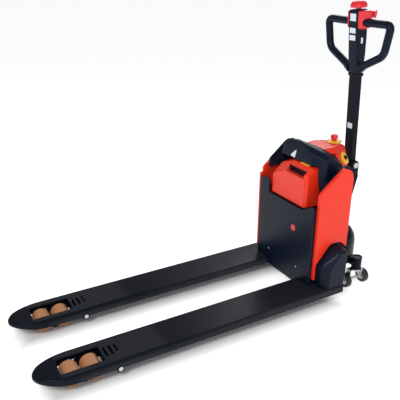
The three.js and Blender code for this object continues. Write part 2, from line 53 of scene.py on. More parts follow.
JOINTS = {joint["name"]: joint for joint in frame["joints"]}

# ---------- where things are: millimetres from the tower's front face ----------
FACE_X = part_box("face_plate")[0].x / MM - 2
TRUCK = Matrix.Translation((FACE_X * MM, 0, 0)) @ Matrix.Scale(MM, 4)
PIVOT = Matrix.Translation(JOINTS["tiller_tilt"]["pos_m"])
MAST_LEAN = math.radians(-2.65)
HEAD_LEAN = math.radians(-1.95)
MAST_LENGTH = 424
TILLER = PIVOT @ Matrix.Rotation(MAST_LEAN, 4, "Y") @ Matrix.Scale(MM, 4)
HEAD = TILLER @ Matrix.Translation((0, 0, MAST_LENGTH)) @ Matrix.Rotation(HEAD_LEAN, 4, "Y")


def span(node):
    """The x, y and z ranges of a CAD node, in millimetres from the tower face."""
    low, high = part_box(node)
    shift = (FACE_X, 0, 0)
    return [(low[i] / MM - shift[i], high[i] / MM - shift[i]) for i in range(3)]


def middle(node):
    return [(low + high) / 2 for low, high in span(node)]


# ---------- camera, lights and floor ----------
CAMERA_AT = (-1490.25, -1877.01, 1431.45)
CAMERA_DOWN = 23.02
CAMERA_TURN = -29.3


def make_camera():
    data = bpy.data.cameras.new("camera")
    data.sensor_width = 36
    data.lens = 51.5
    camera = bpy.data.objects.new("camera", data)
    camera.location = TRUCK @ Vector(CAMERA_AT)
    camera.rotation_euler = (math.radians(90 - CAMERA_DOWN), 0, math.radians(CAMERA_TURN))
    bpy.context.collection.objects.link(camera)
    bpy.context.scene.camera = camera


def area_light(name, place, aim, size, power, colour=(1, 1, 1)):
    data = bpy.data.lights.new(name, "AREA")
    data.shape = "RECTANGLE"
    data.size, data.size_y = size
    data.energy = power
    data.color = colour
    lamp = bpy.data.objects.new(name, data)
    lamp.location = place
    lamp.rotation_euler = (Vector(aim) - Vector(place)).to_track_quat("-Z", "Y").to_euler()
    bpy.context.collection.objects.link(lamp)


def math_node(tree, operation, *values):
    """The result of one math node. Each value is a socket or a number."""
    node = tree.nodes.new("ShaderNodeMath")
    node.operation = operation
    for socket, value in zip(node.inputs, values):
        if isinstance(value, (int, float)):
            socket.default_value = value
        else:
            tree.links.new(value, socket)
    return node.outputs["Value"]


def floor_paper():
    """White paper that glows, except close round the forks, where its glow fades out into a painted contact
    shadow.
    """
    fork_line = 0.190
    middle_x = -0.13
    painted_shadow_half_width = 0.04
    painted_shadow_half_length = 0.60
    painted_shadow_fade = 0.11
    paper = bpy.data.materials.new("floor")
    paper.use_nodes = True
    tree = paper.node_tree
    shader = tree.nodes["Principled BSDF"]
    shader.inputs["Base Color"].default_value = (0.8, 0.8, 0.8, 1)
    shader.inputs["Roughness"].default_value = 0.95
    shader.inputs["Emission Color"].default_value = (1, 1, 1, 1)
    where = tree.nodes.new("ShaderNodeTexCoord")
    axes = tree.nodes.new("ShaderNodeSeparateXYZ")
    tree.links.new(where.outputs["Object"], axes.inputs["Vector"])
    across = math_node(tree, "ABSOLUTE", axes.outputs["Y"])
    across = math_node(tree, "ABSOLUTE", math_node(tree, "SUBTRACT", across, fork_line))
    along = math_node(tree, "ABSOLUTE", math_node(tree, "SUBTRACT", axes.outputs["X"], middle_x))
    # Painted shadow: the glow is zero over each fork's footprint and rises smoothly to full strength away from it.
    beside = math_node(tree, "SUBTRACT", across, painted_shadow_half_width)
    beyond = math_node(tree, "SUBTRACT", along, painted_shadow_half_length)
    away = math_node(tree, "MAXIMUM", beside, beyond)
    glow = tree.nodes.new("ShaderNodeMapRange")
    glow.interpolation_type = "SMOOTHSTEP"
    glow.inputs["From Max"].default_value = painted_shadow_fade
    glow.inputs["To Max"].default_value = 0.62
    tree.links.new(away, glow.inputs["Value"])
    tree.links.new(glow.outputs["Result"], shader.inputs["Emission Strength"])
    return paper


def make_stage():
    half = 60
    corners = [(-half, -half, 0), (half, -half, 0), (half, half, 0), (-half, half, 0)]
    mesh = bpy.data.meshes.new("floor")
    mesh.from_pydata(corners, [], [(0, 1, 2, 3)])
    mesh.materials.append(floor_paper())
    floor = bpy.data.objects.new("floor", mesh)
    bpy.context.collection.objects.link(floor)
    world = bpy.data.worlds.new("studio")
    world.use_nodes = True
    background = world.node_tree.nodes["Background"]
    background.inputs["Color"].default_value = (0.97, 0.985, 1, 1)
    background.inputs["Strength"].default_value = 0.42
    bpy.context.scene.world = world
    bpy.context.scene.view_settings.view_transform = "Standard"
    area_light("key", (-2.6, -2.2, 3.2), (0.1, 0, 0.3), (1.0, 1.0), 95)
    area_light("fill", (0.4, -3.4, 1.6), (0.2, 0, 0.5), (2.0, 1.6), 20)
    area_light("rim", (2.6, 2.0, 2.6), (0.3, 0, 0.5), (2.0, 1.4), 45)


make_camera()
make_stage()


# ---------- materials ----------
def surface(name, colour, roughness, metallic=0.0, grain=(900, 0.05), mottle=0.06, edge_brighten=0.0, coat=0.0,
            gloss=0.5, stretch=(1, 1, 1)):
    """Principled shader: mottled colour, uneven roughness, a bumpy grain and a lighter copy of the colour on sharp
    convex edges.
    """
    material = bpy.data.materials.new(name)
    material.use_nodes = True
    tree = material.node_tree
    shader = tree.nodes["Principled BSDF"]
    shader.inputs["Metallic"].default_value = metallic
    shader.inputs["Specular IOR Level"].default_value = gloss
    shader.inputs["Coat Weight"].default_value = coat
    shader.inputs["Coat Roughness"].default_value = 0.15
    where = tree.nodes.new("ShaderNodeTexCoord")
    mapping = tree.nodes.new("ShaderNodeMapping")
    mapping.inputs["Scale"].default_value = stretch
    tree.links.new(where.outputs["Object"], mapping.inputs["Vector"])
    patches = tree.nodes.new("ShaderNodeTexNoise")
    patches.inputs["Scale"].default_value = 14
    patches.inputs["Detail"].default_value = 6
    patches.inputs["Roughness"].default_value = 0.65
    tree.links.new(mapping.outputs["Vector"], patches.inputs["Vector"])
    ramp = tree.nodes.new("ShaderNodeValToRGB")
    low, high = ramp.color_ramp.elements
    low.position, high.position = 0.3, 0.72
    low.color = (*[c * (1 - mottle) for c in colour], 1)
    high.color = (*[min(1, c * (1 + mottle)) for c in colour], 1)
    tree.links.new(patches.outputs["Fac"], ramp.inputs["Fac"])
    paint = ramp.outputs["Color"]
    # Sharp convex edges, found by pointiness, get a brighter copy of the colour.
    if edge_brighten:
        geometry = tree.nodes.new("ShaderNodeNewGeometry")
        edge = tree.nodes.new("ShaderNodeMapRange")
        edge.inputs["From Min"].default_value = 0.53
        edge.inputs["From Max"].default_value = 0.64
        edge.inputs["To Max"].default_value = edge_brighten
        tree.links.new(geometry.outputs["Pointiness"], edge.inputs["Value"])
        mix = tree.nodes.new("ShaderNodeMix")
        mix.data_type = "RGBA"
        factor, below, above = mix.inputs[0], mix.inputs[6], mix.inputs[7]
        above.default_value = (*[min(1, c * 1.5 + 0.05) for c in colour], 1)
        tree.links.new(edge.outputs["Result"], factor)
        tree.links.new(paint, below)
        paint = mix.outputs[2]
    tree.links.new(paint, shader.inputs["Base Color"])
    smudge = tree.nodes.new("ShaderNodeMapRange")
    smudge.inputs["To Min"].default_value = max(0.05, roughness - 0.07)
    smudge.inputs["To Max"].default_value = min(1, roughness + 0.07)
    tree.links.new(patches.outputs["Fac"], smudge.inputs["Value"])
    tree.links.new(smudge.outputs["Result"], shader.inputs["Roughness"])
    fine = tree.nodes.new("ShaderNodeTexNoise")
    fine.inputs["Scale"].default_value = grain[0]
    fine.inputs["Detail"].default_value = 3
    tree.links.new(mapping.outputs["Vector"], fine.inputs["Vector"])
    bump = tree.nodes.new("ShaderNodeBump")
    bump.inputs["Strength"].default_value = grain[1]
    bump.inputs["Distance"].default_value = 0.0006
    tree.links.new(fine.outputs["Fac"], bump.inputs["Height"])
    tree.links.new(bump.outputs["Normal"], shader.inputs["Normal"])
    return material


MATERIALS = {
    "black_paint": surface("powder_coat_black", (0.0024, 0.0040, 0.0092), 0.34, grain=(420, 0.2),
                           edge_brighten=0.25, gloss=0.1),
    "cover_black": surface("moulded_black", (0.0026, 0.0065, 0.0175), 0.34, grain=(1500, 0.18),
                           edge_brighten=0.25, gloss=0.14),
    "orange": surface("moulded_orange", (0.80, 0.030, 0.008), 0.36, grain=(1300, 0.1), mottle=0.03,
                      edge_brighten=0.15, gloss=0.3),
    "red": surface("moulded_red", (0.70, 0.012, 0.02), 0.3, grain=(1500, 0.08), mottle=0.03,
                   edge_brighten=0.15, coat=0.2),
    "yellow": surface("moulded_yellow", (0.86, 0.50, 0.02), 0.42, grain=(1300, 0.12), mottle=0.05),
    "zinc": surface("zinc_plate", (0.50, 0.51, 0.53), 0.34, 0.95, grain=(500, 0.15), mottle=0.14, edge_brighten=0.2),
    "steel": surface("turned_steel", (0.36, 0.37, 0.39), 0.34, 0.95, grain=(700, 0.3), mottle=0.12,
                     stretch=(1, 6, 1)),
    "tyre_black": surface("wheel_rubber", (0.008, 0.008, 0.010), 0.55, grain=(800, 0.5), mottle=0.2),
    "polyurethane": surface("tan_polyurethane", (0.46, 0.20, 0.08), 0.42, grain=(600, 0.25), mottle=0.1,
                            edge_brighten=0.3),
    "alloy": surface("cast_alloy", (0.45, 0.46, 0.48), 0.5, 0.85, grain=(650, 0.7), mottle=0.1),
}
LABEL = surface("blank_label", (0.66, 0.73, 0.82), 0.45, grain=(900, 0.08), mottle=0.03)
# Painted shade: a dark colour for the inside of the battery's grip recess, where the orange plastic lies in shade.
GRIP_SHADE_PAINT = surface("painted_recess_shade", (0.05, 0.006, 0.012), 0.6, grain=(900, 0.2))


# ---------- mesh helpers: all in millimetres ----------
AXES = {"x": (1, 0, 0), "y": (0, 1, 0), "z": (0, 0, 1)}


def to_mesh(build):
    bm = bmesh.new()
    build(bm)
    bmesh.ops.recalc_face_normals(bm, faces=bm.faces)
    mesh = bpy.data.meshes.new("piece")
    bm.to_mesh(mesh)
    bm.free()
    return mesh


def applied(mesh, kind, **values):
    """The mesh with one modifier applied. A boolean's other mesh is given as `tool`."""
    holder = bpy.data.objects.new("holder", mesh)
    bpy.context.collection.objects.link(holder)
    modifier = holder.modifiers.new(kind, kind)
    helpers = [holder]
    if "tool" in values:
        helpers.append(bpy.data.objects.new("tool", values.pop("tool")))
        bpy.context.collection.objects.link(helpers[1])
        modifier.solver = "EXACT"
        modifier.object = helpers[1]
    for key, value in values.items():
        setattr(modifier, key, value)
    bpy.context.view_layer.update()
    result = bpy.data.meshes.new_from_object(holder.evaluated_get(bpy.context.evaluated_depsgraph_get()))
    for helper in helpers:
        bpy.data.objects.remove(helper)
    return result


def cut(mesh, *tools):
    for tool in tools:
        mesh = applied(mesh, "BOOLEAN", operation="DIFFERENCE", tool=tool)
    return mesh


def fuse(mesh, *others):
    for other in others:
        mesh = applied(mesh, "BOOLEAN", operation="UNION", tool=other)
    return mesh


def melt(mesh, voxel, times):
    """The mesh with all its edges rounded, as a moulded cover's are."""
    mesh = applied(mesh, "REMESH", mode="VOXEL", voxel_size=voxel)
    return applied(mesh, "SMOOTH", factor=0.5, iterations=times)


def soften(mesh, width, segments=3, angle=28):
    return applied(mesh, "BEVEL", width=width, segments=segments, limit_method="ANGLE",
                   angle_limit=math.radians(angle), use_clamp_overlap=True)


def gathered(*meshes):
    def build(bm):
        for mesh in meshes:
            bm.from_mesh(mesh)
    return to_mesh(build)


def arcs(points, radii, steps=5):
    """An outline whose corners are round. radii is one number, or one for each corner."""
    count = len(points)
    radii = list(radii) if hasattr(radii, "__len__") else [radii] * count
    outline = []
    for i, point in enumerate(points):
        corner = Vector(point)
        if radii[i] <= 0:
            outline.append(corner)
            continue
        before = Vector(points[i - 1]) - corner
        after = Vector(points[(i + 1) % count]) - corner
        reach = radii[i] / max(math.tan(before.angle(after) / 2), 1e-3)
        reach = min(reach, before.length * 0.48, after.length * 0.48)
        start = corner + before.normalized() * reach
        end = corner + after.normalized() * reach
        for k in range(steps + 1):
            t = k / steps
            outline.append(start * (1 - t) ** 2 + corner * 2 * t * (1 - t) + end * t * t)
    return outline


def loft(rings):
    """A closed skin through rings with the same number of points each."""
    def build(bm):
        rows = [[bm.verts.new(p) for p in ring] for ring in rings]
        bm.faces.new(rows[0])
        bm.faces.new(rows[-1][::-1])
        for a, b in zip(rows, rows[1:]):
            for i in range(len(a)):
                j = (i + 1) % len(a)
                bm.faces.new((a[i], a[j], b[j], b[i]))
    return to_mesh(build)


def prism(axis, outline, low, high):
    """An outline extruded along an axis. Its points are (y, z) along x, (x, z) along y, (x, y) along z."""
    place = {"x": lambda p, d: (d, p[0], p[1]), "y": lambda p, d: (p[0], d, p[1]),
             "z": lambda p, d: (p[0], p[1], d)}[axis]
    return loft([[place(p, d) for p in outline] for d in (low, high)])


def block(x, y, z):
    return prism("z", [(x[0], y[0]), (x[1], y[0]), (x[1], y[1]), (x[0], y[1])], *z)


def hull(points):
    def build(bm):
        verts = [bm.verts.new(p) for p in points]
        bmesh.ops.convex_hull(bm, input=verts)
        bmesh.ops.delete(bm, geom=[v for v in bm.verts if not v.link_faces], context="VERTS")
        bmesh.ops.dissolve_limit(bm, angle_limit=math.radians(1.5), verts=bm.verts, edges=bm.edges)
    return to_mesh(build)


def both(points):
    return [(x, s * y, z) for x, y, z in points for s in (1, -1)]


def lathe(profile, centre=(0, 0, 0), axis="z", sides=64):
    """A (radius, height) profile turned about an axis. It ends on the axis or closes on itself."""
    aim = AXES[axis] if isinstance(axis, str) else axis
    turn = Vector((0, 0, 1)).rotation_difference(Vector(aim)).to_matrix().to_4x4()
    move = Matrix.Translation(centre) @ turn

    def build(bm):
        rings = []
        for radius, height in profile:
            count = 1 if radius < 1e-6 else sides
            angles = [2 * math.pi * i / sides for i in range(count)]
            rings.append([bm.verts.new(move @ Vector((radius * math.cos(a), radius * math.sin(a), height)))
                          for a in angles])
        pairs = list(zip(rings, rings[1:]))
        if len(rings[0]) > 1:
            pairs.append((rings[-1], rings[0]))
        for a, b in pairs:
            for i in range(sides):
                j = (i + 1) % sides
                ends = [a[i % len(a)], a[j % len(a)], b[j % len(b)], b[i % len(b)]]
                face = [v for k, v in enumerate(ends) if v not in ends[:k]]
                if len(face) > 2:
                    bm.faces.new(face)
    return to_mesh(build)


def round_profile(points, radius, steps=4):
    """A profile with its inner corners rounded; its two ends stay sharp."""
    radii = [0] + [radius] * (len(points) - 2) + [0]
    return [tuple(p) for p in arcs(points, radii, steps)]


def tube(path, radius, sides=20):
    """A round bar along a path of points, closed at both ends."""
    points = [Vector(p) for p in path]
    side = None
    rings = []
    for i, point in enumerate(points):
        ahead = (points[min(i + 1, len(points) - 1)] - points[max(i - 1, 0)]).normalized()
        side = ahead.orthogonal() if side is None else side - ahead * side.dot(ahead)
        side.normalize()
        up = ahead.cross(side)
        rings.append([point + radius * (math.cos(a) * side + math.sin(a) * up)
                      for a in (2 * math.pi * k / sides for k in range(sides))])
    return loft(rings)


def add(name, mesh, body, slot, place=TRUCK, material=None, stands_for=(), crease=36):
    """Puts a millimetre mesh into the scene as a finished piece that rides on a CAD body."""
    mesh.transform(place)
    mesh.materials.clear()
    mesh.materials.append(material or MATERIALS[slot])
    mesh.shade_smooth()
    mesh.set_sharp_from_angle(angle=math.radians(crease))
    piece = bpy.data.objects.new(name, mesh)
    bpy.context.collection.objects.link(piece)
    shade = piece.modifiers.new("shade", "WEIGHTED_NORMAL")
    shade.keep_sharp = True
    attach(piece, body)
    if stands_for:
        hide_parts(*stands_for)


def keep(node, width, segments=2, material=None):
    """A CAD node that stays: softened edges and a material with detail."""
    piece = frame["nodes"][node]
    weld = piece.modifiers.new("weld", "WELD")
    weld.merge_threshold = 0.02 * MM
    edge = piece.modifiers.new("edge", "BEVEL")
    edge.width = width * MM
    edge.segments = segments
    edge.limit_method = "ANGLE"
    edge.angle_limit = math.radians(35)
    shade = piece.modifiers.new("shade", "WEIGHTED_NORMAL")
    shade.keep_sharp = True
    slot = next(part["material_slot"] for part in RECORD["subparts"] if part["node"] == node)
    piece.data.materials.clear()
    piece.data.materials.append(material or MATERIALS[slot])


# ---------- forks and load wheels ----------
FORK_Y = middle("fork_left")[1]
FORK_HALF = (span("fork_left")[1][1] - span("fork_left")[1][0]) / 2
FORK_TIP, FORK_REAR = span("fork_left")[0]
FORK_TOP = span("fork_left")[2][1]
FORK_BOTTOM = FORK_TOP - 35
NOSE = 150
LEVER_X, LEVER_Z = -920, 50


def channel_ring(x, half, low, high, foot, shoulder, steps=5):
    """Points round a fork's section at one place along it."""
    corners = [(-half, low), (half, low), (half, high), (-half, high)]
    return [(x, y, z) for y, z in arcs(corners, [foot, foot, shoulder, shoulder], steps)]


def fork_skin():
    """The outside of one fork about its own centre line, with a round nose that slopes at its tip."""
    rings = []
    nose_start = FORK_TIP + NOSE
    stations = [FORK_REAR, -300, -700, nose_start]
    stations += [nose_start - NOSE * math.sin(math.radians(a)) for a in range(6, 85, 6)] + [FORK_TIP + 0.25]
    for x in stations:
        reach = max(0, (nose_start - x) / NOSE)
        half = FORK_HALF * math.sqrt(max(0.003, 1 - reach * reach))
        low = FORK_BOTTOM + max(0, (FORK_TIP + 108 - x) / 108) * 17
        high = FORK_TOP - 9 * max(0, (FORK_TIP + 26 - x) / 26) ** 1.6
        shoulder = min(9.5, half * 0.6, (high - low) * 0.45)
        rings.append(channel_ring(x, half, low, high, min(3, shoulder), shoulder))
    return loft(rings)


def slot_hole(x, half_y, half_x):
    outline = arcs([(x - half_x, -half_y), (x + half_x, -half_y), (x + half_x, half_y), (x - half_x, half_y)],
                   half_x, 5)
    return prism("z", outline, 60, 95)


def make_fork(side, s):
    """One fork, hollow below, with its roller window and slots, and dark strips under its edges as painted shade.
    """
    wall, under = 5, FORK_TOP - 6
    inner = FORK_HALF - wall
    heel_step = 0.5

    def hollow(start, end, half):
        rings = [channel_ring(x, half, 0, under, 1, 7) for x in (start, end)]
        return loft(rings)

    lobe = lathe(round_profile([(0, -FORK_HALF), (17, -FORK_HALF), (17, FORK_HALF), (0, FORK_HALF)], 1, 2),
                 (LEVER_X, 0, LEVER_Z), "y", 48)
    body = fuse(fork_skin(), lobe)
    window = prism("z", arcs([(FORK_TIP + 92, -46), (-962, -46), (-962, 46), (FORK_TIP + 92, 46)], 6), 60, 95)
    inner_side = (-FORK_HALF - 1, 13 - FORK_HALF) if s > 0 else (FORK_HALF - 13, FORK_HALF + 1)
    body = cut(body, hollow(FORK_TIP + NOSE, FORK_REAR + 1, inner),
               hollow(FORK_TIP + 90, FORK_TIP + NOSE + 1, inner - 7),
               window, *[slot_hole(x, 30, 5) for x in (-948, -926, -904)],
               lathe([(0, -90), (8.6, -90), (8.6, 90), (0, 90)], (LEVER_X, 0, LEVER_Z), "y", 32),
               block((60, FORK_REAR + 1), inner_side, (0, 76)),
               block((1, FORK_REAR + 1), (-FORK_HALF - 1, FORK_HALF + 1),
                     (FORK_TOP - heel_step, FORK_TOP + 1)))
    body = soften(body, 0.9, 2, 50)
    body.transform(Matrix.Translation((0, s * FORK_Y, 0)))
    add(f"fork_skin_{side}", body, "fork_chassis", "black_paint", stands_for=[f"fork_{side}"])
    # Painted shade: flat black strips inside the hollow underside, at the toe, the roller window and the slots,
    # hide the bright floor where the fork's inside lies in shade.
    shade_strips = (("toe", (-1130, -1072), (47, 67)), ("window", (-1070, -945), (59, 74)),
              ("slots", (-895, -850), (13, 74)))
    for edge, flank in ((1, "far"), (-1, "near")):
        for place, along, reach in shade_strips:
            shade_strip = block(along, sorted(s * FORK_Y + edge * y for y in reach), (47.5, 50))
            add(f"fork_guard_{side}_{place}_{flank}", shade_strip, "fork_chassis", "black_paint")


def make_roller(side, end):
    node = f"{end}_roller_{side}"
    centre = middle(node)
    half = (span(node)[1][1] - span(node)[1][0]) / 2
    radius = (span(node)[2][1] - span(node)[2][0]) / 2
    tyre = lathe(arcs([(19, -half + 1.5), (radius - 3, -half), (radius, -half + 3), (radius, half - 3),
                       (radius - 3, half), (19, half - 1.5)], [0.8, 2, 2, 2, 2, 0.8], 3), centre, "y", 64)
    add(f"roller_tyre_{side}_{end}", tyre, node, "polyurethane", stands_for=[node])
    end_y = half - 3
    hub = lathe(arcs([(8.4, -end_y), (18.9, -end_y), (18.9, end_y), (8.4, end_y)], 0.8, 2), centre, "y", 40)
    add(f"roller_bearing_{side}_{end}", hub, node, "steel")


def hex_head(centre, axis, radius, depth):
    """A hexagon bolt head that stands on its place along the axis, with a washer under it."""
    sign = 1 if depth > 0 else -1
    wide, thick = radius * 1.35, sign * 1.2
    profile = [(0, 0), (radius, 0), (radius, depth - sign), (radius * 0.84, depth), (0, depth)]
    head = lathe(profile, centre, axis, 6)
    ring = round_profile([(0, 0), (wide, 0), (wide, thick), (0, thick)], 0.4, 2)
    return gathered(head, lathe(ring, centre, axis, 32))


def make_pin_caps(side, s):
    for face in (1, -1):
        low = face * 83.4
        high = low + face * 1.5
        cap = lathe(round_profile([(0, low), (9, low), (9, high), (0, high)], 0.6, 2),
                    (LEVER_X, s * FORK_Y, LEVER_Z), "y", 32)
        add(f"lever_pin_cap_{side}_{'out' if face == s else 'in'}", cap, f"load_lever_{side}", "zinc")


for side, s in SIDES:
    make_fork(side, s)
    for end in ("front", "rear"):
        make_roller(side, end)
    make_pin_caps(side, s)
    keep(f"load_lever_{side}", 1.0)
    keep(f"bogie_{side}", 1.0, material=MATERIALS["black_paint"])
    keep(f"pull_rod_{side}", 0.8)
keep("torque_shaft", 0.8)
keep("heel_beam", 3, 3)
keep("tower_frame", 1.2)
for node in ("lift_barrel", "lift_rod", "steering_bearing", "wheel_carrier", "drive_motor"):
    keep(node, 1.0)
for node in ("hydraulic_unit", "controller", "gearbox"):
    keep(node, 2.0, 3)
keep("battery_tray", 1.5)


# ---------- tower: face plate, side panels, wheel covers ----------
PANEL_IN, PANEL_OUT = span("side_panel_left")[1]
HEEL_Y = span("heel_beam")[1][1]


def screw(name, centre, axis, radius, body, depth):
    """A round button-head screw with a socket, depth tall along the axis."""
    socket = depth - (1 if depth > 0 else -1)
    profile = [(0, socket), (radius * 0.42, socket), (radius * 0.42, depth), (radius * 0.75, depth * 0.94),
               (radius, depth * 0.35), (radius, 0), (0, 0)]
    add(name, lathe(profile, centre, axis, 24), body, "zinc")


def make_face():
    """The face plate, stepped down in front of the battery, with a folded strip along each side."""
    half = PANEL_IN - 2
    notch = span("battery")[1][1] + 5
    top, shelf = span("face_plate")[2][1], 422
    outline = arcs([(-half, 84), (-HEEL_Y, 84), (-HEEL_Y, 54), (HEEL_Y, 54), (HEEL_Y, 84), (half, 84),
                    (half, top - 8), (half - 8, top), (notch, top), (notch, shelf), (-notch, shelf),
                    (-notch, 427), (-half, 466)], [3, 2, 4, 4, 2, 3, 6, 6, 4, 3, 1, 2, 10])
    plate = soften(prism("x", outline, 2, 7), 1.4, 3, 40)
    add("face_sheet", plate, "fork_chassis", "cover_black", stands_for=["face_plate"])
    for (side, s), fold_top in zip(SIDES, (top - 14, 452)):
        inner, step, outer = (s * (half + y) for y in (-9, -1, 1.6))
        fold = arcs([(2.6, inner), (2.6, outer), (16, outer), (16, step), (8, step), (8, inner)],
                    [5, 7, 1, 1, 2, 1])
        strip = soften(prism("z", fold, 92, fold_top), 1, 2, 50)
        add(f"face_fold_{side}", strip, "fork_chassis", "cover_black")
    for side, s in SIDES:
        screw(f"face_screw_lower_{side}", (2, s * 105, 136), "x", 4, "fork_chassis", -2)
    badge = lathe(round_profile([(0, 2.2), (15, 2.2), (15, 1.2), (0, 1.2)], 0.4, 2), (0, -69, 317), "x", 40)
    add("face_badge", badge, "fork_chassis", "red")


def make_panel(side, s):
    outline = arcs([(17, 113), (27, 113), (27, 186), (100, 271), (150, 273), (182, 253), (196, 234),
                    (197, 565), (184, 602), (140, 615), (26, 524), (20, 512)],
                   [3, 3, 14, 26, 18, 22, 18, 60, 40, 26, 14, 10], 7)
    low, high = sorted((s * PANEL_IN, s * PANEL_OUT))
    shell = soften(prism("y", outline, low, high), 5.5, 5, 40)
    add(f"panel_{side}", shell, "fork_chassis", "orange", stands_for=[f"side_panel_{side}"])
    if s > 0:
        strip = soften(block((4, 22), (PANEL_IN + 1, PANEL_OUT - 0.5), (118, 494)), 4, 4, 40)
        add("panel_edge_left", strip, "fork_chassis", "orange")
    edge = arcs([(24, 196), (31, 196), (31, 508), (136, 600), (132, 606), (24, 516)], [2, 2, 8, 4, 4, 8])
    trim = soften(prism("y", edge, *sorted((s * (PANEL_OUT - 1.5), s * (PANEL_OUT + 0.9)))), 0.7, 2, 40)
    add(f"panel_rib_{side}", trim, "fork_chassis", "orange")


def make_wheel_cover(side, s):
    """The cover beside a side panel, shaped on the right and mirrored for the left."""
    low = FORK_TOP + 0.3
    inner = [(33, low), (33, 182), (104, 263), (146, 263), (160, 250), (160, 150), (149, low)]
    outer = [(60, low), (60, 172), (112, 252), (144, 252), (153, 244), (153, 150), (145, low)]

    def skin(shrink):
        points = [(x, -y, z) for y, rim in ((192, inner), (232, inner), (268, outer)) for x, z in rim]
        home = Vector((95, -222, FORK_TOP))
        return [home + (Vector(p) - home) * shrink for p in points]

    body = soften(hull(skin(1)), 9, 4, 18)
    hollow = hull(skin(0.9) + [p - Vector((0, 0, 20)) for p in skin(0.9)])
    body = cut(body, hollow, block((40, 148), (-196, -150), (FORK_TOP - 2, 180)),
               block((0, 200), (-300, 300), (0, low)))
    body = soften(body, 1, 2, 55)
    if s > 0:
        body.transform(Matrix.Scale(-1, 4, (0, 1, 0)))
        body.flip_normals()
    add(f"cover_{side}", body, "fork_chassis", "cover_black", stands_for=[f"wheel_cover_{side}"])


# ---------- battery and its latch ----------
def make_battery():
    front, back = 14, 150
    half, low, top = 119, 424, 602
    lean = [
        (front, half - 2, low + 3), (front, 12 - half, low + 3), (front + 12, -half, low + 3),
        (front + 3, half, low), (front + 3, 12 - half, low), (back, half, low), (back, -half, low),
        (front, half - 2, 514), (front, 30, 556), (front, 12 - half, 572), (front + 3, half, 513),
        (front + 12, -half, 572), (54, half, 550), (54, half - 20, 570), (back, half, 566), (back, 60, top),
        (54, 14, top), (54, -half + 20, top), (54, -half, top - 12), (back, -half + 20, top),
        (back, -half, top - 12),
    ]
    shell = soften(hull(lean), 6.5, 5, 16)
    grip = soften(block((front - 8, 62), (-100, 24), (556, 584)), 5, 4, 40)
    mouth = hull([(front - 8, -100, 556), (front - 8, 24, 556), (front - 8, -100, 612), (front - 8, 24, 612),
                  (44, -100, 612), (44, 24, 612), (30, -100, 556), (30, 24, 556)])
    shell = soften(cut(shell, fuse(grip, mouth)), 1.6, 3, 50)
    add("battery_shell", shell, "battery", "orange", stands_for=["battery"])
    # Painted shade: a thin dark shell lining the back of the grip recess stands in for the shade inside the
    # hollow.
    grip_shade = cut(block((front + 20, 61.7), (-99.6, 23.6), (556.3, 583.7)),
                 block((front + 19, 59.5), (-97, 21), (558.5, 581.5)))
    add("battery_grip_painted_shade", grip_shade, "battery", "cover_black", material=GRIP_SHADE_PAINT)


def make_latch():
    (x0, x1), (y0, y1), (z0, z1) = span("battery_latch")
    tab = hull([(x0, y0, z0), (x0, y1, z0), (x1, y0, z0), (x1, y1, z0), (x0 + 4, y0 + 4, z1 - 2),
                (x0 + 4, y1 - 4, z1 - 2), (x1, y0 + 4, z1), (x1, y1 - 4, z1)])
    tab = soften(tab, 1.6, 3, 20)
    starts = [x0 + 10 + 7 * i for i in range(4)]
    grooves = [block((x, x + 2.5), (y0 + 8, y1 - 8), (z1 - 2.6, z1 + 2)) for x in starts]
    add("latch_tab", cut(tab, *grooves), "battery_latch", "yellow", stands_for=["battery_latch"])


# ---------- hood, rear cover and what is on them ----------
HOOD = [(50, 104, 614), (57, 98, 660), (66, 66, 687), (64, 0, 694), (98, 150, 500), (94, 124, 440),
        (98, 150, 636), (110, 128, 657), (120, 80, 674), (190, 150, 440), (190, 150, 600), (190, 104, 628),
        (190, 0, 636)]
KEY_AT = (246, -92, 612)
KEY_AIM = Vector((0.42, -0.72, 0.55)).normalized()
STOP_X = middle("e_stop_base")[0]


def make_hood():
    """The hood over the battery's back, with a lip and a web along each side panel."""
    body = hull(both(HOOD))
    for side, s in SIDES:
        lift = 13 if s > 0 else -14
        lip = arcs([(44, 522), (47, 548 + lift), (136, 622 + lift), (150, 628 + lift), (188, 628 + lift),
                    (188, 560), (108, 520)], [2, 8, 10, 10, 14, 4, 4])
        rim = soften(prism("y", lip, *sorted((s * (PANEL_IN - 13), s * (PANEL_IN - 0.3)))), 2.5, 3, 40)
        add(f"hood_lip_{side}", rim, "fork_chassis", "cover_black")
        web = [(100, 518), (100, 542), (188, 570), (188, 552), (108, 518)]
        body = fuse(body, prism("y", web, *sorted((s * 140, s * (PANEL_IN - 8)))))
    hollow = hull(both([(80, 90, 600), (80, 60, 668), (182, 130, 430), (182, 130, 590), (182, 60, 622),
                        (110, 130, 620), (164, 130, 430)]))
    body = melt(cut(body, block((0, 163), (-124, 124), (400, 610)), hollow), 2.6, 8)
    add("hood_shell", body, "fork_chassis", "cover_black", stands_for=["hood"], crease=60)
    corners = ((39, 618), (39, 624), (12, 650), (9, 645), (12, 616))
    patch = hull([(x + (z - 614) * 0.152, y, z) for x in (48.5, 52) for y, z in corners])
    add("label_hood_front", patch, "fork_chassis", "cover_black", material=LABEL)


def key_disc(radius, low, high, edge=0.0):
    profile = [(0, low), (radius, low), (radius, high), (0, high)]
    return lathe(round_profile(profile, edge, 3) if edge else profile, KEY_AT, KEY_AIM, 56)


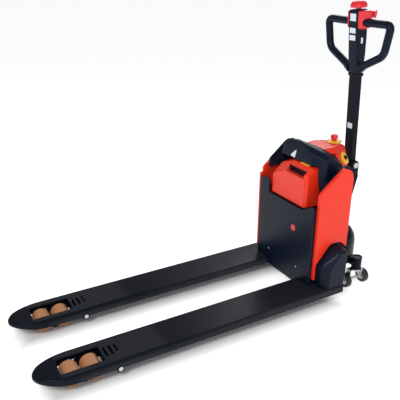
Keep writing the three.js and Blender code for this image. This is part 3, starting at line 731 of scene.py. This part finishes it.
def make_rear_cover():
    dome = hull(both([(120, 0, 659), (132, 52, 658), (196, 64, 661), (246, 46, 660), (262, 0, 659),
                      (130, 84, 642), (206, 102, 632), (262, 92, 600), (267, 62, 634), (192, 100, 573),
                      (266, 96, 573), (290, 34, 650), (302, 30, 636), (304, 0, 644), (302, 34, 575)]))
    dome = soften(dome, 7, 4, 12)
    hood_skin = hull(both(HOOD))
    hood_skin.transform(Matrix.Translation((0, 0, 0.6)))
    hollow = hull(both([(196, 90, 560), (256, 84, 560), (200, 60, 644), (250, 50, 636), (290, 26, 560),
                        (288, 20, 620)]))
    dome = cut(dome, hood_skin, block((100, 190.4), (-200, 200), (500, 640)), hollow, key_disc(29, -6.3, 60),
               lathe([(0, 600), (11, 600), (11, 700), (0, 700)], (STOP_X, 0, 0)))
    add("rear_dome", soften(dome, 0.8, 2, 60), "fork_chassis", "orange", stands_for=["rear_cover"])


def key_point(a, b, c):
    turn = Vector((0, 0, 1)).rotation_difference(KEY_AIM).to_matrix()
    return Vector(KEY_AT) + turn @ Vector((a, b, c))


def make_key():
    plate = lathe(arcs([(9.4, -2), (9.4, 3), (22, 4), (28.5, 2.5), (28.5, -6), (0.001, -6), (0.001, -2)],
                       [0.5, 1, 2, 1.5, 1, 0, 0], 3)[:-2] + [(9.4, -6)], KEY_AT, KEY_AIM, 56)
    add("key_collar", plate, "fork_chassis", "yellow", stands_for=["key_plate"])
    bow = hull([key_point(a, b, c) for a in (-7, 7) for b in (-1.6, 1.6) for c in (8, 15)])
    lock = fuse(key_disc(9, -1.7, 9, 1.2), soften(bow, 1, 2, 30))
    add("key_lock", lock, "key_barrel", "cover_black", stands_for=["key_barrel"])


def make_stop_button():
    low = span("e_stop_base")[2][0]
    ring = arcs([(11, low), (36, low), (36, low + 2), (26, low + 5.6), (11, low + 5.6)],
                [0.3, 0.3, 1, 1.5, 1], 3)
    add("stop_ring", lathe(ring, (STOP_X, 0, 0)), "fork_chassis", "yellow", stands_for=["e_stop_base"])
    top = span("e_stop_button")[2][1]
    knob = lathe(round_profile([(0, top - 40), (9, top - 40), (9, top - 20), (14, top - 20), (17, top - 16),
                                (17, top - 5), (12, top), (0, top)], 3, 4), (STOP_X, 0, 0))
    add("stop_mushroom", knob, "e_stop_button", "red", stands_for=["e_stop_button"])


make_face()
for side, s in SIDES:
    make_panel(side, s)
    make_wheel_cover(side, s)
make_battery()
make_latch()
make_hood()
make_rear_cover()
make_key()
make_stop_button()


# ---------- drive unit and castors ----------
STEER_X = middle("drive_cover")[0]


def make_drive():
    profile = [(115, 86), (115, 172), (109, 200), (92, 226), (39, 236), (39, 232), (90, 222), (105, 199),
               (112, 172), (112, 86)]
    shell = lathe(arcs(profile, [0.6, 30, 22, 20, 1, 1, 16, 18, 26, 0.6], 6), (STEER_X, 0, 0), "z", 96)
    add("drive_shroud", shell, "steer_head", "black_paint", stands_for=["drive_cover"])
    centre = middle("drive_tyre")
    half, radius = 35, 105
    tread = arcs([(70.4, -half), (radius - 4, -half), (radius, -half + 5), (radius, half - 5),
                  (radius - 4, half), (70.4, half)], [0.5, 2, 3, 3, 2, 0.5], 3)
    tyre = lathe(tread, centre, "y", 96)
    add("drive_tread", tyre, "drive_wheel", "tyre_black", stands_for=["drive_tyre"])
    rim = arcs([(12.4, -30), (26, -33), (26, -22), (58, -20), (62, -33), (70, -33), (70, 33), (62, 33),
                (58, 20), (26, 22), (26, 33), (12.4, 30)], [0, 1, 3, 4, 1, 1, 1, 1, 4, 3, 1, 0], 3)
    hub = lathe(rim, centre, "y", 72)
    add("drive_rim", hub, "drive_wheel", "alloy", stands_for=["drive_hub"])


def make_castor(side, s):
    for end in ("front", "rear"):
        node = f"castor_{end}_wheel_{side}"
        centre = middle(node)
        half = (span(node)[0][1] - span(node)[0][0]) / 2
        radius = (span(node)[2][1] - span(node)[2][0]) / 2
        tread = [(18, -half + 3), (20, -half + 1), (radius - 4, -half), (radius, -half + 5),
                 (radius, half - 5), (radius - 4, half), (20, half - 1), (18, half - 3)]
        tyre = lathe(arcs(tread, [1, 1, 2, 4, 4, 2, 1, 1], 3), centre, "x", 56)
        add(f"castor_tyre_{side}_{end}", tyre, node, "tyre_black", stands_for=[node])
        core = [(7.4, -half + 2), (17.9, -half + 3), (17.9, half - 3), (7.4, half - 2)]
        hub = lathe(arcs(core, 0.8, 2), centre, "x", 40)
        add(f"castor_hub_{side}_{end}", hub, node, "zinc")
    keep(f"castor_yoke_{side}", 1.6, 3)
    x, y = middle(f"castor_yoke_{side}")[0], s * 180
    for end in (1, -1):
        add(f"castor_nut_{side}_{'rear' if end > 0 else 'front'}",
            hex_head((x + end * 66.2, y, 34), "x", 9, end * 5), f"castor_{side}", "zinc")
    socket = lathe(arcs([(17, 88), (23.5, 88), (23.5, 94), (22, 95), (22, 142), (23.5, 143), (23.5, 149),
                         (17, 149)], [1, 1.5, 1, 0, 0, 1, 1.5, 1], 2), (x, s * 188, 0), "z", 56)
    add(f"castor_socket_{side}", socket, "drive_frame", "black_paint")


make_drive()
for side, s in SIDES:
    make_castor(side, s)
keep("drive_bridge", 1.5)
keep("tiller_base", 4, 3)


# ---------- tiller ----------
def make_mast():
    bar = soften(cut(block((-14, 14), (-25, 25), (0, MAST_LENGTH - 12)),
                     block((-11, 11), (-22, 22), (34, MAST_LENGTH))), 3, 4, 40)
    knuckle = lathe(round_profile([(0, -25), (22, -25), (22, 25), (0, 25)], 1.5, 3), (0, 0, 0), "y", 56)
    collar = soften(cut(block((-19, 19), (-29, 29), (MAST_LENGTH - 14, MAST_LENGTH)),
                        block((-11, 11), (-22, 22), (MAST_LENGTH - 16, MAST_LENGTH + 1))), 2.5, 3, 40)
    bore = lathe([(0, -40), (10.4, -40), (10.4, 40), (0, 40)], (0, 0, 0), "y", 40)
    mast = cut(fuse(bar, knuckle, collar), bore)
    add("mast_bar", mast, "tiller", "black_paint", TILLER, stands_for=["mast"])


def label(name, body, place, x, y, z):
    """A plain blank label on a flat face."""
    add(name, soften(block(x, y, z), 0.2, 1, 40), body, "cover_black", place, material=LABEL)


make_mast()
keep("tiller_pin", 1.0)

HEAD_HALF, HEAD_HEIGHT = 29, 268
THROTTLE_X, THROTTLE_Z = 37, 246
BAR_Z = 216
LOOP_R = 16.5


def head_rim(x0, x1, half, z):
    return both([(x0, half - 6, z), (x0 + 6, half, z), (x1 - 6, half, z), (x1, half - 6, z)])


def make_head_column():
    h = HEAD_HALF
    rims = head_rim(-22, 20, 27, 2.4) + head_rim(-26, 27, h, 78) + head_rim(-h, 31, h, 160)
    rims += head_rim(-h, h, h, HEAD_HEIGHT - 6) + head_rim(4 - h, h - 4, h - 4, HEAD_HEIGHT)
    body = soften(hull(rims), 3, 3, 25)
    lugs = [block((h - 6, THROTTLE_X + 10), sorted((s * 10, s * 18)), (THROTTLE_Z - 11, THROTTLE_Z + 11))
            for _, s in SIDES]
    body = cut(fuse(body, *[soften(lug, 2, 3, 40) for lug in lugs]),
               lathe([(0, -40), (6.6, -40), (6.6, 40), (0, 40)], (THROTTLE_X, 0, THROTTLE_Z), "y", 32),
               lathe([(0, 258), (11, 258), (11, 280), (0, 280)], (0, 0, 0), "z", 32),
               block((h - 8, h + 6), (3, 20), (190, 210)), block((h - 8, h + 6), (-20, -3), (190, 210)),
               lathe([(0, h - 8), (9.6, h - 8), (9.6, h + 6), (0, h + 6)], (0, 0, 160), "x", 32))
    add("head_body", body, "tiller", "cover_black", HEAD, stands_for=["head_column"])


def make_handle(side, s):
    """One half of the handle loop: a bar along a bent path, with a flared root on the head."""
    corner = [Vector(p) for p in ((-12, s * 10, 15), (-7, s * 162, 93), (2, s * 185, BAR_Z + 1),
                                  (2, s * 100, BAR_Z), (2, s * 12, BAR_Z))]
    bend = 28
    path = [corner[0]]
    for before, point, after in zip(corner, corner[1:], corner[2:]):
        start = point + (before - point).normalized() * bend
        end = point + (after - point).normalized() * bend
        for t in (k / 12 for k in range(13)):
            path.append(start * (1 - t) ** 2 + point * 2 * t * (1 - t) + end * t * t)
    path.append(corner[-1])
    dense = [path[0]]
    for a, b in zip(path, path[1:]):
        pieces = max(1, round((b - a).length / 9))
        dense += [a.lerp(b, (k + 1) / pieces) for k in range(pieces)]
    flare = ((-24, 27, -2), (10, 27, -2), (-24, 27, 40), (10, 27, 40), (-22, 62, 22), (4, 62, 22),
             (-22, 62, 46), (4, 62, 46))
    root = hull([(x, s * y, z) for x, y, z in flare])
    bar = fuse(tube(dense, LOOP_R, 32), soften(root, 7, 4, 30))
    bar = cut(bar, block((-40, 40), (-HEAD_HALF - 0.3, HEAD_HALF + 0.3), (-20, 250)))
    add(f"grip_{side}", bar, "tiller", "cover_black", HEAD, stands_for=[f"handle_{side}"])


def make_head_cover(side, s):
    """The red cover over one end of the handle bar, where it meets the head."""
    near = s * (HEAD_HALF + 0.3)

    def rim(z, inset):
        return [(inset - 29, near, z), (inset - 29, s * 33, z), (25 - inset, near, z),
                (25 - inset, s * (56 - inset), z), (8, s * (56 - inset), z)]

    shell = hull(rim(190, 8) + rim(198, 0) + rim(258, 0) + rim(264, 6))
    shell = soften(shell, 6, 5, 20)
    bore = [(0, -70), (LOOP_R + 0.8, -70), (LOOP_R + 0.8, 70), (0, 70)]
    shell = cut(shell, lathe(bore, (2, 0, BAR_Z), "y", 40))
    add(f"head_shell_{side}", shell, "tiller", "red", HEAD, stands_for=[f"head_cover_{side}"])


def make_throttle():
    x = THROTTLE_X
    wings = []
    for _, s in SIDES:
        shape = hull([(px, s * y, pz) for y in (33, 62)
                      for px, pz in ((x - 6, 236), (x + 6, 228), (x + 12, 262), (x - 6, 258))])
        wings.append(soften(shape, 4.5, 4, 20))
    axle = lathe([(0, -58), (6, -58), (6, 58), (0, 58)], (x, 0, THROTTLE_Z), "y", 32)
    add("throttle_wings", fuse(axle, *wings), "throttle", "red", HEAD, stands_for=["throttle"])


def make_belly_button():
    def rim(half, z):
        return both([(-half, half - 7, z), (7 - half, half, z), (half - 7, half, z), (half, half - 7, z)])

    dome = soften(hull(rim(28, 274.3) + rim(28.5, 286) + rim(23, 298) + rim(12, 303)), 3.5, 5, 14)
    stem = lathe([(0, 265), (10, 265), (10, 277), (0, 277)], (0, 0, 0), "z", 32)
    add("belly_dome", fuse(dome, stem), "belly_button", "red", HEAD, stands_for=["belly_button"])


make_head_column()
make_belly_button()
make_throttle()
for side, s in SIDES:
    make_handle(side, s)
    make_head_cover(side, s)
for node in ("lift_button", "lower_button", "horn_button"):
    keep(node, 1.2, 3)

FRONT = -HEAD_HALF
label("label_head_high", "tiller", HEAD, (FRONT - 0.5, FRONT + 0.3), (-17, 17), (222, 252))
label("label_head_mid", "tiller", HEAD, (FRONT - 0.5, FRONT + 0.3), (-17, 17), (172, 194))
label("label_head_low", "tiller", HEAD, (FRONT - 0.5, FRONT + 0.6), (-17, 17), (142, 164))
label("label_head_side", "tiller", HEAD, (-7, 4), (FRONT - 0.5, FRONT + 0.3), (129, 153))
label("label_mast", "tiller", TILLER, (-14.5, -13.7), (-15, 15), (172, 197))
